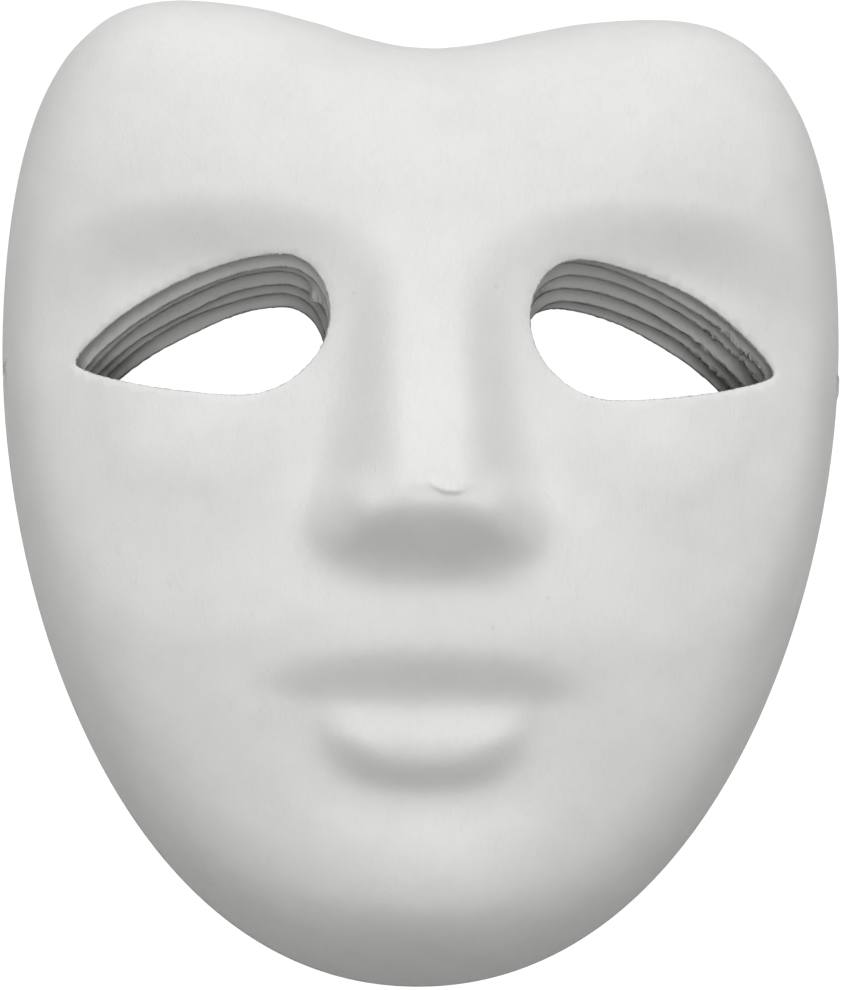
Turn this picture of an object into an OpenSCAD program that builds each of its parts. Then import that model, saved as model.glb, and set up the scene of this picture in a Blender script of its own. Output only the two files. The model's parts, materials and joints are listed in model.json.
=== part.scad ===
// Pile of blank moulded-pulp face masks, nested face up.
//
// Each mask is one thin shell: a steep side wall that rounds over into a face
// with brows, nose, lips and chin, two eye openings and two strap holes.
// +X is the wearer's left as the face is looked at, +Y is the forehead, +Z is
// the way the nose points. The bottom mask's rim lies on Z = 0.

/* [Pile] */
// Height from one nested mask to the next
nest_pitch = 12; // [12:0.5:30]
// Least height left free between two nested masks
nest_gap = 0.8; // [0.4:0.1:2]

/* [Shell] */
// Thickness of the pulp wall, measured square to it
wall = 1.6; // [1:0.1:2]
// Height from the rim to the shoulder where the side wall ends
side_h = 34; // [26:1:40]
// How soon the side wall rounds over at the temples and cheeks
side_round = 6.5; // [6:0.5:10]
// How soon the wall rounds over at the forehead
forehead_round = 8; // [7:0.5:14]
// How soon the wall rounds over at the chin
chin_round = 6; // [6:0.5:12]
// Rise of the face from the shoulder to its middle
crown_h = 25; // [16:1:30]

/* [Outline] */
// Half of the mask's greatest width
half_w = 96; // [78:1:116]
// Height of that width above the middle of the mask
widest_y = 36; // [20:1:50]
// Top of the two forehead lobes above the middle
lobe_y = 112; // [90:1:136]
// Distance from the midline to the top of a lobe
lobe_x = 55; // [44:1:66]
// Bottom of the dip between the lobes, above the middle
dip_y = 103; // [80:1:110]
// Tip of the chin below the middle
chin_y = 112; // [90:1:136]
// Flatness of the dip
dip_pull = 18; // [12:1:24]
// Flatness of a lobe on its inner side
lobe_pull = 27; // [20:1:32]
// Fullness of the corner over the temple
temple_pull = 35; // [26:1:44]
// Fullness of the cheek
cheek_pull = 62; // [48:1:76]
// Fullness of the jaw
jaw_pull = 65; // [50:1:78]

/* [Eye openings] */
// Outer corner, from the midline and the middle
eye_outer = [76, 22]; // [10:1:85]
// Top of the opening
eye_top = [32, 44.5]; // [10:1:85]
// Inner end of the opening
eye_inner = [21, 31]; // [10:1:85]
// Bottom of the opening
eye_bottom = [39, 13.7]; // [10:1:85]
// Roundness of the outer corner, above and below
eye_corner_pull = [3, 1.5]; // [1:0.5:6]
// Flatness of the top, towards the temple and the nose
eye_top_pull = [22, 6]; // [4:1:26]
// Roundness of the inner end, above and below
eye_inner_pull = [8, 9]; // [4:1:12]
// Flatness of the bottom, towards the nose and the temple
eye_bottom_pull = [9, 18]; // [4:1:22]

/* [Strap holes] */
// Diameter of the punched strap hole
strap_d = 4.6; // [3:0.1:5]
// Height of the hole's centre above the rim
strap_z = 8.4; // [7:0.1:9]
// Position of the hole along the side, above the middle
strap_y = 24; // [10:1:40]
// Angle between the hole and the ground, which makes it square to the wall
strap_tilt = 13; // [6:1:20]

/* [Nose] */
// Height of the tip above the face
nose_h = 18; // [10:0.5:22]
// Place of the tip
nose_tip_y = -8; // [-16:1:0]
// Place of the top of the bridge
nose_top_y = 54; // [44:1:62]
// Length of the underside, from tip to lip
nose_under = 18.5; // [14:0.5:22]
// Half width of the flat along the ridge
nose_flat = 5; // [2:0.5:7]
// Half width of the nose at the bridge, from ridge to face
bridge_w = 18; // [14:0.5:21]
// Half width over the nostrils
nostril_w = 26; // [22:0.5:30]
// Height of the nostril wings
wing_h = 4.5; // [2:0.5:8]
// Half distance between the wings
wing_x = 17.5; // [13:0.5:20]
// Radius of a wing
wing_r = 7.5; // [6:0.5:10]

/* [Brows and cheeks] */
// Depth of the eye sockets
socket_depth = 6.5; // [3:0.5:9]
// Distance from the midline to the middle of a socket
socket_x = 49; // [42:1:54]
// Height of that middle above the middle of the mask
socket_y = 22; // [16:1:28]
// Half width of a socket
socket_w = 41; // [34:1:46]
// Reach of a socket up to the brow
socket_up = 31; // [26:1:36]
// Reach of a socket down into the cheek
socket_down = 54; // [40:1:64]
// Height of the brow ridges
brow_h = 1; // [0:0.5:3]
// Height of the cheekbones
cheek_h = 6; // [2:0.5:8]

/* [Mouth and chin] */
// Place of the line between the lips
mouth_y = -51.5; // [-56:0.5:-46]
// Half width of the mouth
mouth_w = 27; // [22:1:32]
// Height of the upper lip
upper_lip_h = 6; // [2:0.5:8]
// Length of the upper lip's slope down to the line
upper_lip_len = 13; // [10:0.5:16]
// Height of the lower lip
lower_lip_h = 3.6; // [1.5:0.1:6]
// Half width of the lower lip
lower_lip_w = 23.5; // [18:0.5:28]
// Length of the lower lip
lower_lip_len = 17.5; // [14:0.5:21]
// Depth of the hollow around the lower lip
lip_hollow = 2.2; // [0:0.1:4]
// Height of the chin
chin_h = 5.5; // [2:0.5:8]

/* [Hidden] */
NODES = ["top_mask", "second_mask", "third_mask", "fourth_mask", "fifth_mask", "bottom_mask"];

MASK_COUNT = len(NODES);
PULP_WHITE = "#E6E7E1";
RINGS = 22;          // rings of facets from the middle to the rim
RIM_DENSITY = 1.25;  // above 1 the rings crowd towards the rim
RIM_INSIDE = 0.9;    // last ring inside the rim line
SKIRT = 0.8;         // run of wall past the rim line, trimmed off
MAX_DEPTH = 160;     // more than the height of one mask
EYE_STEPS = 6;       // chords along each of an eye opening's four curves
STRAP_REACH = 12;    // length of the tool that punches a strap hole

// ==== Curves ====

// Point at t on a cubic curve with ends a and d and pulls b and c.
function curve_point(a, b, c, d, t) =
    pow(1 - t, 3) * a + 3 * pow(1 - t, 2) * t * b + 3 * (1 - t) * t * t * c + pow(t, 3) * d;

// Its direction of travel at t.
function curve_way(a, b, c, d, t) =
    pow(1 - t, 2) * (b - a) + 2 * (1 - t) * t * (c - b) + t * t * (d - c);

// Quarter turn clockwise, which points outwards on a curve drawn anticlockwise.
function outward(v) = [v.y, -v.x] / norm(v);

// The right half of the outline, from the chin up to the dip, as cubic curves
// with the number of chords that each takes.
DIP = [0, dip_y];
LOBE = [lobe_x, lobe_y];
SIDE = [half_w, widest_y];
CHIN = [0, -chin_y];
RIGHT_HALF = [
    [CHIN, CHIN + [jaw_pull, 0], SIDE - [0, cheek_pull], SIDE, 9],
    [SIDE, SIDE + [0, temple_pull], LOBE + [temple_pull, 0], LOBE, 6],
    [LOBE, LOBE - [lobe_pull, 0], DIP + [dip_pull, 0], DIP, 4]
];

// Each entry is [point on the rim, outward direction there].
right_rim = [
    for (c = RIGHT_HALF) for (k = [0 : c[4] - 1])
        let (t = k / c[4])
        [curve_point(c[0], c[1], c[2], c[3], t), outward(curve_way(c[0], c[1], c[2], c[3], t))]
];
left_rim = [
    for (k = [len(right_rim) - 1 : -1 : 1])
        let (r = right_rim[k])
        [[-r[0].x, r[0].y], [-r[1].x, r[1].y]]
];
rim = concat(right_rim, [[DIP, [0, 1]]], left_rim);
SECTORS = len(rim);

// ==== Relief of the face ====

// A soft round mound, 1 at its centre, with half widths size.x and size.y.
function mound(p, centre, size) =
    exp(-pow((p.x - centre.x) / size.x, 2) - pow((p.y - centre.y) / size.y, 2));

// A mound on each side of the midline.
function twin_mound(p, centre, size) = mound([abs(p.x), p.y], centre, size);

// Eases from 0 to 1 as v goes from 0 to 1.
function ease(v) = let (t = min(1, max(0, v))) t * t * (3 - 2 * t);

// Nose: a ridge that rises from the bridge to the tip and drops to the lip.
function nose_ramp(y) =
    y > nose_tip_y
        ? pow(max(0, (nose_top_y - y) / (nose_top_y - nose_tip_y)), 1.2)
        : 1 - ease((nose_tip_y - 3 - y) / nose_under);
function nose_half(y) =
    bridge_w + (nostril_w - bridge_w) * ease((nose_tip_y + 42 - y) / 46);
function wing(p) =
    wing_h * exp(-pow(norm([abs(p.x) - wing_x, p.y - nose_tip_y + 5.5]) / wing_r, 3));
function nose(p) =
    nose_h * nose_ramp(p.y)
        * (1 - ease((abs(p.x) - nose_flat) / (nose_half(p.y) - nose_flat)))
    + wing(p);

// Eye sockets: rounded basins, steeper towards the brow than towards the cheek.
SOCKET_POWER = 2.6;  // 2 is an ellipse, and more is squarer
function socket(p) =
    let (
        across = abs(abs(p.x) - socket_x) / socket_w,
        along = abs(p.y - socket_y) / (p.y > socket_y ? socket_up : socket_down),
        share = pow(pow(across, SOCKET_POWER) + pow(along, SOCKET_POWER), 1 / SOCKET_POWER)
    )
    socket_depth * (1 - ease((share - 0.55) / 0.6));

function brows(p) = brow_h * twin_mound(p, [42, 66], [34, 12]) - socket(p);

function cheeks(p) = cheek_h * twin_mound(p, [52, -6], [26, 24]);

// Lips, with v the height above the line between them. The upper lip swells
// down to the line, and the lower one is a rounded shield in a shallow hollow.
SHIELD_POWER = 2.8;
function upper_lip(p, m, v) =
    let (len = upper_lip_len * (1 - 0.25 * min(1.4, m * m)))
    upper_lip_h * ease((v + 1) / len) * exp(-pow(max(0, v - len + 1) / 15, 2)) * exp(-pow(m, 4));
function lower_lip(p, v) =
    let (
        share = pow(pow(abs(p.x) / lower_lip_w, SHIELD_POWER)
                    + pow(max(0, -v) / lower_lip_len, SHIELD_POWER), 1 / SHIELD_POWER),
        away = (share - 1.12) / (share < 1.12 ? 0.22 : 0.43)
    )
    lower_lip_h * ease(-v / 9) * (1 - ease((share - 0.62) / 0.4))
    - lip_hollow * exp(-away * away) * ease((5.5 - v) / 8) * exp(-pow(abs(p.x) / 30, 4));
function mouth(p) =
    let (m = abs(p.x) / mouth_w, v = p.y - mouth_y - 1.5 * m * m)
    upper_lip(p, m, v) + lower_lip(p, v);

function chin(p) = chin_h * mound(p, [0, mouth_y - 42], [25, 19]);

function relief(p) = nose(p) + brows(p) + cheeks(p) + mouth(p) + chin(p);

// ==== Height of the shell ====

// Rounding of the side wall, by the direction from the middle of the mask.
function rounding(way) =
    side_round + (forehead_round - side_round) * pow(max(0, way.y), 2)
    + (chin_round - side_round) * pow(max(0, -way.y), 2);

// Side wall at distance d inside the rim; past the rim it carries on down.
function side_wall(d, r) = d < 0 ? side_h / r * d : side_h * (1 - exp(-d / r));

// Height at share u of the way from the middle to rim entry r.
function shell_height(r, u) =
    side_wall((1 - u) * (r[0] * r[1]), rounding(r[0] / norm(r[0])))
    + crown_h * (1 - u * u)
    + relief(u * r[0]) * ease((1 - u) * 6);

// Share of the way to the rim at which ring k of a sector lies.
function ring_share(r, k) =
    k == RINGS + 1 ? 1 + SKIRT / (r[0] * r[1])
    : let (last = 1 - RIM_INSIDE / (r[0] * r[1]))
      last * (1 - pow(1 - k / RINGS, RIM_DENSITY));

// outer[k][j]: the face of the shell at ring k, sector j.
outer = [
    for (k = [0 : RINGS + 1]) [
        for (r = rim)
            let (u = ring_share(r, k))
            [u * r[0].x, u * r[0].y, shell_height(r, u)]
    ]
];

// Height taken by the wall at a point, from the slope around it.
function wall_height(k, j) =
    let (
        across = outer[min(k + 1, RINGS + 1)][j] - outer[max(k - 1, 0)][j],
        along = outer[k][(j + 1) % SECTORS] - outer[k][(j + SECTORS - 1) % SECTORS],
        square = cross(across, along)
    )
    min(nest_pitch - nest_gap, wall * norm(square) / abs(square.z));

inner = [
    for (k = [1 : RINGS + 1]) [
        for (j = [0 : SECTORS - 1]) outer[k][j] - [0, 0, wall_height(k, j)]
    ]
];

// ==== Shell ====

OUTER_MIDDLE = 0;
INNER_MIDDLE = 1;
function outer_id(k, j) = 2 + (k - 1) * SECTORS + j % SECTORS;
function inner_id(k, j) = outer_id(k, j) + (RINGS + 1) * SECTORS;

// Two triangles for the facet with corners a, b, c and d, cut from a to c on one
// half of the mask and from b to d on the other, so that the halves match.
function facet(j, a, b, c, d) =
    2 * j < SECTORS ? [[a, b, c], [a, c, d]] : [[b, c, d], [b, d, a]];

module shell() {
    middle = outer[0][0];
    points = concat(
        [middle, middle - [0, 0, wall]],
        [for (k = [1 : RINGS + 1]) each outer[k]],
        [for (ring = inner) each ring]
    );
    faces = [
        for (j = [0 : SECTORS - 1]) each concat(
            [[OUTER_MIDDLE, outer_id(1, j + 1), outer_id(1, j)],
             [INNER_MIDDLE, inner_id(1, j), inner_id(1, j + 1)]],
            [for (k = [1 : RINGS]) each concat(
                facet(j, outer_id(k, j), outer_id(k, j + 1),
                      outer_id(k + 1, j + 1), outer_id(k + 1, j)),
                facet(j, inner_id(k, j), inner_id(k + 1, j),
                      inner_id(k + 1, j + 1), inner_id(k, j + 1)))],
            facet(j, outer_id(RINGS + 1, j), outer_id(RINGS + 1, j + 1),
                  inner_id(RINGS + 1, j + 1), inner_id(RINGS + 1, j)))
    ];
    polyhedron(points, faces, convexity = 6);
}

// ==== Cuts ====

// The four curves of the right eye opening, anticlockwise from its outer corner.
EYE_CURVES = [
    [eye_outer, eye_outer + [0, eye_corner_pull[0]], eye_top + [eye_top_pull[0], 0], eye_top],
    [eye_top, eye_top - [eye_top_pull[1], 0], eye_inner + [0, eye_inner_pull[0]], eye_inner],
    [eye_inner, eye_inner - [0, eye_inner_pull[1]],
     eye_bottom - [eye_bottom_pull[0], 0], eye_bottom],
    [eye_bottom, eye_bottom + [eye_bottom_pull[1], 0],
     eye_outer - [0, eye_corner_pull[1]], eye_outer]
];
eye_outline = [
    for (c = EYE_CURVES) for (k = [0 : EYE_STEPS - 1])
        curve_point(c[0], c[1], c[2], c[3], k / EYE_STEPS)
];

module eye_openings() {
    for (side = [0, 1]) mirror([side, 0, 0])
        translate([0, 0, -1]) linear_extrude(MAX_DEPTH) polygon(eye_outline);
}

// Point of the side wall at height strap_z, by halving the distance from the rim.
function wall_run(low, high, n) =
    n == 0 ? low
    : let (mid = (low + high) / 2,
           z = side_wall(mid, side_round) + crown_h * (1 - pow(1 - mid / half_w, 2)))
      z < strap_z ? wall_run(mid, high, n - 1) : wall_run(low, mid, n - 1);

// Half width of the rim at height y, between two rim entries.
function rim_x(y, j = 0) =
    right_rim[j + 1][0].y > y
        ? let (a = right_rim[j][0], b = right_rim[j + 1][0])
          a.x + (b.x - a.x) * (y - a.y) / (b.y - a.y)
        : rim_x(y, j + 1);

STRAP_X = rim_x(strap_y) - wall_run(0, side_h, 12);

module strap_holes() {
    for (side = [0, 1]) mirror([side, 0, 0])
        translate([STRAP_X, strap_y, strap_z]) rotate([0, 90 - strap_tilt, 0])
            cylinder(h = STRAP_REACH, d = strap_d, center = true, $fn = 48);
}

module below_rim() {
    translate([-2 * half_w, -2 * chin_y, -MAX_DEPTH]) cube([4 * half_w, 4 * chin_y, MAX_DEPTH]);
}

// ==== Masks ====

module mask() {
    color(PULP_WHITE) difference() {
        shell();
        below_rim();
        eye_openings();
        strap_holes();
    }
}

// A mask with the given number of masks nested under it.
module nested_mask(below) {
    translate([0, 0, below * nest_pitch]) mask();
}

module top_mask() nested_mask(MASK_COUNT - 1);
module second_mask() nested_mask(MASK_COUNT - 2);
module third_mask() nested_mask(MASK_COUNT - 3);
module fourth_mask() nested_mask(MASK_COUNT - 4);
module fifth_mask() nested_mask(1);
module bottom_mask() nested_mask(0);

top_mask();
second_mask();
third_mask();
fourth_mask();
fifth_mask();
bottom_mask();
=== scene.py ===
"""Visual model of six blank pulp masks, nested face up in a pile.

Every length inside the classes is in millimetres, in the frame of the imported
part: +X is the wearer's left, +Y the forehead and +Z the way the noses point.
Meshes are scaled to metres when they are made.
"""

from __future__ import annotations

import json
import logging
import math
from dataclasses import dataclass, field
from enum import Enum

import bpy
import numpy as np
from mathutils import Matrix, Vector
from mathutils.geometry import delaunay_2d_cdt

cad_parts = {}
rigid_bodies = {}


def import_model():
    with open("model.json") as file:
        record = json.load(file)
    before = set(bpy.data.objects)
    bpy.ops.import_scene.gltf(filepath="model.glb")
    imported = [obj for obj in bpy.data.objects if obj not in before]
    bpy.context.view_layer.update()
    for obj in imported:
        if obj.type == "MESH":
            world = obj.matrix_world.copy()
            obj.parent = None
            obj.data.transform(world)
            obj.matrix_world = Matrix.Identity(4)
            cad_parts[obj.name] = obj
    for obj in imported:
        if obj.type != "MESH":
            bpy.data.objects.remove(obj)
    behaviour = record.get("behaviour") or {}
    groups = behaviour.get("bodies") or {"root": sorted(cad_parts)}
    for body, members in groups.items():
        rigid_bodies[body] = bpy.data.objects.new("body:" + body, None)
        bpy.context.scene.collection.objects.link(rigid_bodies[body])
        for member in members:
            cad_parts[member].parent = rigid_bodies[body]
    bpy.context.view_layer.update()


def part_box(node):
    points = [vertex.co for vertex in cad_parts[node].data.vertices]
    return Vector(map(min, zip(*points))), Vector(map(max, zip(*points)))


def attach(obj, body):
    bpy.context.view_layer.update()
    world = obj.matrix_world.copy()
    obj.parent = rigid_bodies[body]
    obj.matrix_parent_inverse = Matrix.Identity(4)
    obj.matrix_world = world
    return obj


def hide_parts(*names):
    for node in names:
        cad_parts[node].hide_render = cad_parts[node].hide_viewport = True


LOG = logging.getLogger("pulp_masks")
MM = 0.001
TINY = 1e-9
Array = np.ndarray

# ==== Counts and tolerances of the meshes ====

LEAST_POINTS = 12
UNROLL_STEPS = 2000
RIM_POINTS = 200
EYE_POINTS = 80
STRAP_POINTS = 96
HALVINGS = 40
ROW_HEIGHT = 0.866
WELD = 1e-6

# Seeds of the sheet's waves: those that all masks share, and what a mask adds to its own.
SHEET_SEEDS = (5, 6)
OWN_SEED = 20
BACK_SEED = 40

# Rows round an edge: share of the way to the inner face, and share of the rounding.
EDGE_ROWS = ((0.12, 0.55), (0.36, 0.95), (0.64, 0.95), (0.88, 0.55))


# ==== Small shaping functions ====


def ease(v: Array) -> Array:
    """Rises smoothly from 0 to 1 as v goes from 0 to 1."""
    t = np.clip(v, 0.0, 1.0)
    return t * t * (3.0 - 2.0 * t)


def mound(x: Array, y: Array, centre: tuple[float, float], size: tuple[float, float]) -> Array:
    """A soft round mound, 1 at its centre.

    Args:
        x: Distances across the mask.
        y: Distances along the mask.
        centre: Where the mound stands.
        size: Its half widths across and along.

    Returns:
        The mound's height at each point, from 0 to 1.
    """
    return np.exp(-(((x - centre[0]) / size[0]) ** 2) - ((y - centre[1]) / size[1]) ** 2)


def bezier(ends: tuple, t: Array) -> tuple[Array, Array]:
    """Points and directions along one cubic curve.

    Args:
        ends: The curve's end, its two pulls and its other end, as pairs.
        t: Shares of the way along it.

    Returns:
        The points, and the directions of travel there.
    """
    a, b, c, d = (np.array(p, float) for p in ends)
    t = t[:, None]
    points = (1 - t) ** 3 * a + 3 * (1 - t) ** 2 * t * b + 3 * (1 - t) * t * t * c + t**3 * d
    ways = (1 - t) ** 2 * (b - a) + 2 * (1 - t) * t * (c - b) + t * t * (d - c)
    return points, ways


def resample(loop: Array, step: float) -> Array:
    """Points at even steps along a closed loop.

    Args:
        loop: The loop's dense points, without its first point repeated.
        step: About how far apart the new points are.

    Returns:
        The new points.
    """
    closed = np.vstack([loop, loop[:1]])
    run = np.concatenate([[0.0], np.cumsum(np.linalg.norm(np.diff(closed, axis=0), axis=1))])
    count = max(LEAST_POINTS, round(run[-1] / step))
    at = np.arange(count) * run[-1] / count
    return np.stack([np.interp(at, run, closed[:, k]) for k in range(closed.shape[1])], axis=1)


def blunt(loop: Array, step: float, rounds: int) -> Array:
    """A closed loop at even steps with its corners worn round.

    Args:
        loop: The loop's dense points.
        step: Distance between the new points.
        rounds: How many times each point moves towards its neighbours.

    Returns:
        The new points.
    """
    points = resample(loop, step)
    for _ in range(rounds):
        points = 0.5 * points + 0.25 * (np.roll(points, 1, axis=0) + np.roll(points, -1, axis=0))
    return points


def inside_loop(points: Array, loop: Array) -> Array:
    """Whether each point lies inside a closed loop, by counting crossings."""
    x, y = points[:, 0], points[:, 1]
    hit = np.zeros(len(points), bool)
    for a, b in zip(loop, np.roll(loop, -1, axis=0)):
        if a[1] == b[1]:
            continue
        level = (a[1] > y) != (b[1] > y)
        cross = a[0] + (y - a[1]) * (b[0] - a[0]) / (b[1] - a[1])
        hit ^= level & (x < cross)
    return hit


@dataclass
class Waves:
    """Soft unevenness of wet-laid pulp, as a sum of seeded waves.

    Args:
        seed: Fixes the waves.
        length: About how far it is from crest to crest.
        count: How many waves are added up.
        spread: Shortest and longest wave, as shares of the length.
    """

    seed: int
    length: float
    count: int = 24
    spread: tuple[float, float] = (0.7, 1.6)
    turns: Array = field(init=False)
    starts: Array = field(init=False)

    def __post_init__(self) -> None:
        """Draws the waves' directions, lengths and starts."""
        draw = np.random.default_rng(self.seed)
        ways = draw.normal(size=(self.count, 3))
        ways /= np.linalg.norm(ways, axis=1)[:, None]
        lengths = self.length * draw.uniform(*self.spread, self.count)
        self.turns = ways * (2 * math.pi / lengths)[:, None]
        self.starts = draw.uniform(0, 2 * math.pi, self.count)

    def at(self, points: Array) -> Array:
        """The unevenness at points, mostly between -1 and 1."""
        total = np.zeros(len(points))
        for turn, start in zip(self.turns, self.starts):
            total += np.sin(points @ turn + start)
        return total / math.sqrt(self.count)


# ==== The mould that every mask is laid on ====


@dataclass
class MaskMould:
    """Shape of the mask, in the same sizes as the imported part."""

    pitch: float = 12.0
    gap: float = 0.8
    wall: float = 1.6
    side_h: float = 34.0
    side_round: float = 6.5
    forehead_round: float = 8.0
    chin_round: float = 6.0
    crown_h: float = 25.0
    rim_fade: float = 6.0
    unroll_reach: float = 100.0
    unroll_round: float = 7.5
    half_w: float = 96.0
    widest_y: float = 36.0
    lobe: tuple[float, float] = (55.0, 112.0)
    dip_y: float = 103.0
    chin_y: float = 112.0
    dip_pull: float = 18.0
    lobe_pull: float = 27.0
    temple_pull: float = 35.0
    cheek_pull: float = 62.0
    jaw_pull: float = 65.0
    eye_outer: tuple[float, float] = (76.0, 22.0)
    eye_top: tuple[float, float] = (32.0, 44.5)
    eye_inner: tuple[float, float] = (21.0, 31.0)
    eye_bottom: tuple[float, float] = (39.0, 13.7)
    eye_outer_pulls: tuple[float, float] = (3.0, 1.5)
    eye_top_pulls: tuple[float, float] = (22.0, 6.0)
    eye_inner_pulls: tuple[float, float] = (8.0, 9.0)
    eye_bottom_pulls: tuple[float, float] = (9.0, 18.0)
    strap_d: float = 4.6
    strap_x: float = 93.727
    strap_z: float = 8.4
    strap_y: float = 24.0
    strap_tilt: float = 13.0
    strap_between: tuple[float, float] = (80.0, 99.0)
    nose_h: float = 18.0
    nose_tip_y: float = -8.0
    nose_top_y: float = 54.0
    nose_under: float = 18.5
    nose_flat: float = 5.0
    nose_rise_power: float = 1.2
    nose_tip_run: float = 3.0
    nose_widen_from: float = 42.0
    nose_widen_run: float = 46.0
    bridge_w: float = 18.0
    nostril_w: float = 26.0
    wing_h: float = 4.5
    wing_x: float = 17.5
    wing_r: float = 7.5
    wing_back: float = 5.5
    socket_depth: float = 6.5
    socket_at: tuple[float, float] = (49.0, 22.0)
    socket_w: float = 41.0
    socket_up: float = 31.0
    socket_down: float = 54.0
    socket_power: float = 2.6
    socket_flat: float = 0.55
    socket_fade: float = 0.6
    brow_h: float = 1.0
    brow_at: tuple[float, float] = (42.0, 66.0)
    brow_size: tuple[float, float] = (34.0, 12.0)
    cheek_h: float = 6.0
    cheek_at: tuple[float, float] = (52.0, -6.0)
    cheek_size: tuple[float, float] = (26.0, 24.0)
    mouth_y: float = -51.5
    mouth_w: float = 27.0
    mouth_bow: float = 1.5
    lip_overlap: float = 1.0
    lip_taper: float = 0.25
    lip_taper_end: float = 1.4
    upper_lip_h: float = 6.0
    upper_lip_len: float = 13.0
    upper_lip_fade: float = 15.0
    lower_lip_h: float = 3.6
    lower_lip_w: float = 23.5
    lower_lip_len: float = 17.5
    lower_lip_rise: float = 9.0
    lower_lip_flat: float = 0.62
    lower_lip_fade: float = 0.4
    lip_hollow: float = 2.2
    hollow_at: float = 1.12
    hollow_widths: tuple[float, float] = (0.22, 0.43)
    hollow_half: float = 30.0
    hollow_top: float = 5.5
    hollow_top_run: float = 8.0
    shield_power: float = 2.8
    chin_h: float = 5.5
    chin_drop: float = 42.0
    chin_size: tuple[float, float] = (25.0, 19.0)
    angles: Array = field(init=False, repr=False)
    reaches: Array = field(init=False, repr=False)
    supports: Array = field(init=False, repr=False)
    flat_shares: Array = field(init=False, repr=False)
    stretch: float = field(init=False)

    def __post_init__(self) -> None:
        """Works out the rim's table by direction, and the unrolled distances."""
        points, outward = self.rim_curve()
        self.angles = np.unwrap(np.arctan2(points[:, 1], points[:, 0]))
        self.reaches = np.hypot(points[:, 0], points[:, 1])
        self.supports = (points * outward).sum(axis=1)
        shares = np.linspace(0.0, 1.0, UNROLL_STEPS + 1)
        support, rounding = self.unroll_reach, self.unroll_round
        rise = self.side_h / rounding * np.exp(-(1 - shares) * support / rounding)
        run = np.concatenate([[0.0], np.cumsum(np.hypot(1.0, rise)[1:] / UNROLL_STEPS)])
        self.stretch = float(run[-1])
        self.flat_shares = run / run[-1]

    def rim_curve(self) -> tuple[Array, Array]:
        """The rim line and the outward direction along it, anticlockwise from the chin."""
        dip, chin = (0.0, self.dip_y), (0.0, -self.chin_y)
        side = (self.half_w, self.widest_y)
        lobe = self.lobe
        temple = (side[0], side[1] + self.temple_pull)
        curves = [
            (chin, (self.jaw_pull, chin[1]), (side[0], side[1] - self.cheek_pull), side),
            (side, temple, (lobe[0] + self.temple_pull, lobe[1]), lobe),
            (lobe, (lobe[0] - self.lobe_pull, lobe[1]), (self.dip_pull, self.dip_y), dip),
        ]
        parts = [bezier(c, np.linspace(0, 1, RIM_POINTS)) for c in curves]
        points = np.vstack([p[:-1] for p, _ in parts])
        ways = np.vstack([w[:-1] for _, w in parts])
        outward = np.stack([ways[:, 1], -ways[:, 0]], axis=1)
        outward /= np.linalg.norm(outward, axis=1)[:, None]
        top, up = np.array([[0.0, self.dip_y]]), np.array([[0.0, 1.0]])
        mirror = np.array([-1.0, 1.0])
        points = np.vstack([points, top, points[::-1] * mirror])
        outward = np.vstack([outward, up, outward[::-1] * mirror])
        return points, outward

    def rim_at(self, x: Array, y: Array) -> tuple[Array, Array]:
        """How far the rim is, in each point's direction from the middle.

        Args:
            x: Distances across the mask.
            y: Distances along the mask.

        Returns:
            The distance to the rim, and that of the rim's tangent line.
        """
        angle = np.arctan2(y, x)
        angle = np.where(angle < -math.pi / 2, angle + 2 * math.pi, angle)
        reach = np.interp(angle, self.angles, self.reaches)
        return reach, np.interp(angle, self.angles, self.supports)

    def nose(self, x: Array, y: Array) -> Array:
        """Height of the nose and its wings over the face."""
        tip = self.nose_tip_y
        up = np.clip((self.nose_top_y - y) / (self.nose_top_y - tip), 0.0, None)
        under = ease((tip - self.nose_tip_run - y) / self.nose_under)
        ramp = np.where(y > tip, up**self.nose_rise_power, 1 - under)
        widen = ease((tip + self.nose_widen_from - y) / self.nose_widen_run)
        half = self.bridge_w + (self.nostril_w - self.bridge_w) * widen
        flank = 1 - ease((np.abs(x) - self.nose_flat) / (half - self.nose_flat))
        wing = np.hypot(np.abs(x) - self.wing_x, y - tip + self.wing_back) / self.wing_r
        return self.nose_h * ramp * flank + self.wing_h * np.exp(-(wing**3))

    def socket(self, x: Array, y: Array) -> Array:
        """Depth of the eye sockets, steeper towards the brow than the cheek."""
        across = np.abs(np.abs(x) - self.socket_at[0]) / self.socket_w
        reach = np.where(y > self.socket_at[1], self.socket_up, self.socket_down)
        along = np.abs(y - self.socket_at[1]) / reach
        power = self.socket_power
        share = (across**power + along**power) ** (1 / power)
        return self.socket_depth * (1 - ease((share - self.socket_flat) / self.socket_fade))

    def mouth(self, x: Array, y: Array) -> Array:
        """Height of the lips, with the shallow hollow around the lower one."""
        m = np.abs(x) / self.mouth_w
        v = y - self.mouth_y - self.mouth_bow * m * m
        taper = self.lip_taper * np.minimum(self.lip_taper_end, m * m)
        length = self.upper_lip_len * (1 - taper)
        past = np.maximum(0, v - length + self.lip_overlap)
        fade = np.exp(-((past / self.upper_lip_fade) ** 2) - m**4)
        upper = self.upper_lip_h * ease((v + self.lip_overlap) / length) * fade
        power = self.shield_power
        down = np.maximum(0, -v) / self.lower_lip_len
        share = ((np.abs(x) / self.lower_lip_w) ** power + down**power) ** (1 / power)
        away = (share - self.hollow_at) / np.where(share < self.hollow_at, *self.hollow_widths)
        full = 1 - ease((share - self.lower_lip_flat) / self.lower_lip_fade)
        lower = self.lower_lip_h * ease(-v / self.lower_lip_rise) * full
        below = ease((self.hollow_top - v) / self.hollow_top_run)
        hollow = np.exp(-(away**2) - (np.abs(x) / self.hollow_half) ** 4) * below
        return upper + lower - self.lip_hollow * hollow

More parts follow.
